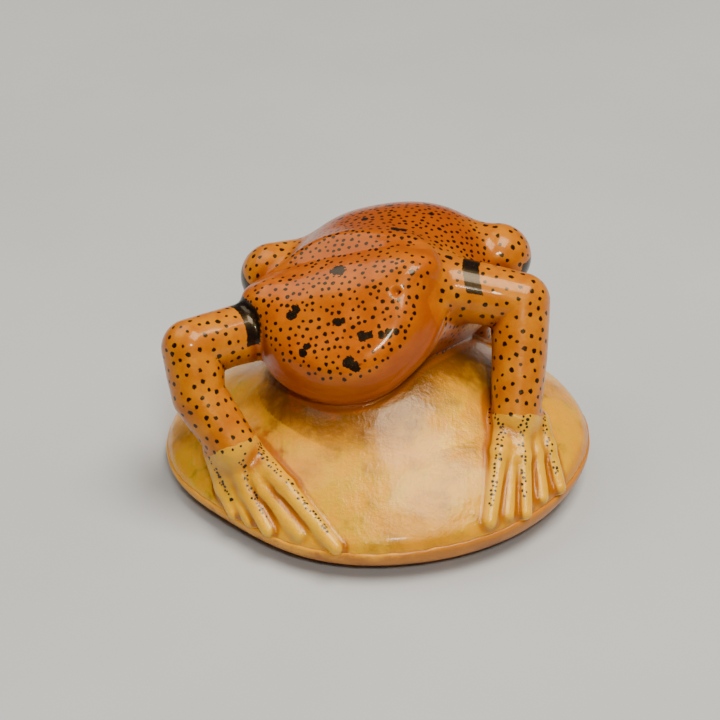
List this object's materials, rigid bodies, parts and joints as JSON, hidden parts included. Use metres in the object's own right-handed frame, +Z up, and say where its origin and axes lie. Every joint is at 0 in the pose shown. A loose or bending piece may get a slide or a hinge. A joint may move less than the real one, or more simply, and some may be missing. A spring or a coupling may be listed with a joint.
{
  "type": "carved nut frog figurine",
  "caption": "Frog carved, dyed and lacquered on the domed nut it was cut from, arms spread and toes fanned to the nut's edge; stands on a small ground flat.",
  "frame": {"origin": "centre of the ground flat foot that the nut stands on", "axes": "+Z up out of the foot, -Y towards the frog's snout, +X to the frog's own left"},
  "size_m": [0.05, 0.044, 0.0288],
  "materials": {
    "nut_flesh": "clear gloss lacquer over bare cream nut, knife facets left in it",
    "seed_skin": "satin brown outer skin of the nut with light mottling, lacquered",
    "orange_dyed_nut": "orange dye with blue-black ink dots under clear gloss lacquer",
    "amber_dyed_nut": "amber dye with blue-black ink dots and bands under clear gloss lacquer",
    "bare_nut_toes": "bare cream nut with double rows of small ink dots on the toes, lacquered"
  },
  "bodies": {
    "root": {"nut_kernel": "nut_flesh", "outer_skin": "seed_skin", "head": "orange_dyed_nut", "lower_jaw": "orange_dyed_nut", "torso": "orange_dyed_nut", "left_eye": "orange_dyed_nut", "right_eye": "orange_dyed_nut", "left_upper_arm": "amber_dyed_nut", "left_forearm": "amber_dyed_nut", "left_thigh": "amber_dyed_nut", "left_shin": "amber_dyed_nut", "left_hand": "bare_nut_toes", "left_foot": "bare_nut_toes", "right_upper_arm": "amber_dyed_nut", "right_forearm": "amber_dyed_nut", "right_thigh": "amber_dyed_nut", "right_shin": "amber_dyed_nut", "right_hand": "bare_nut_toes", "right_foot": "bare_nut_toes"}
  },
  "joints": []
}
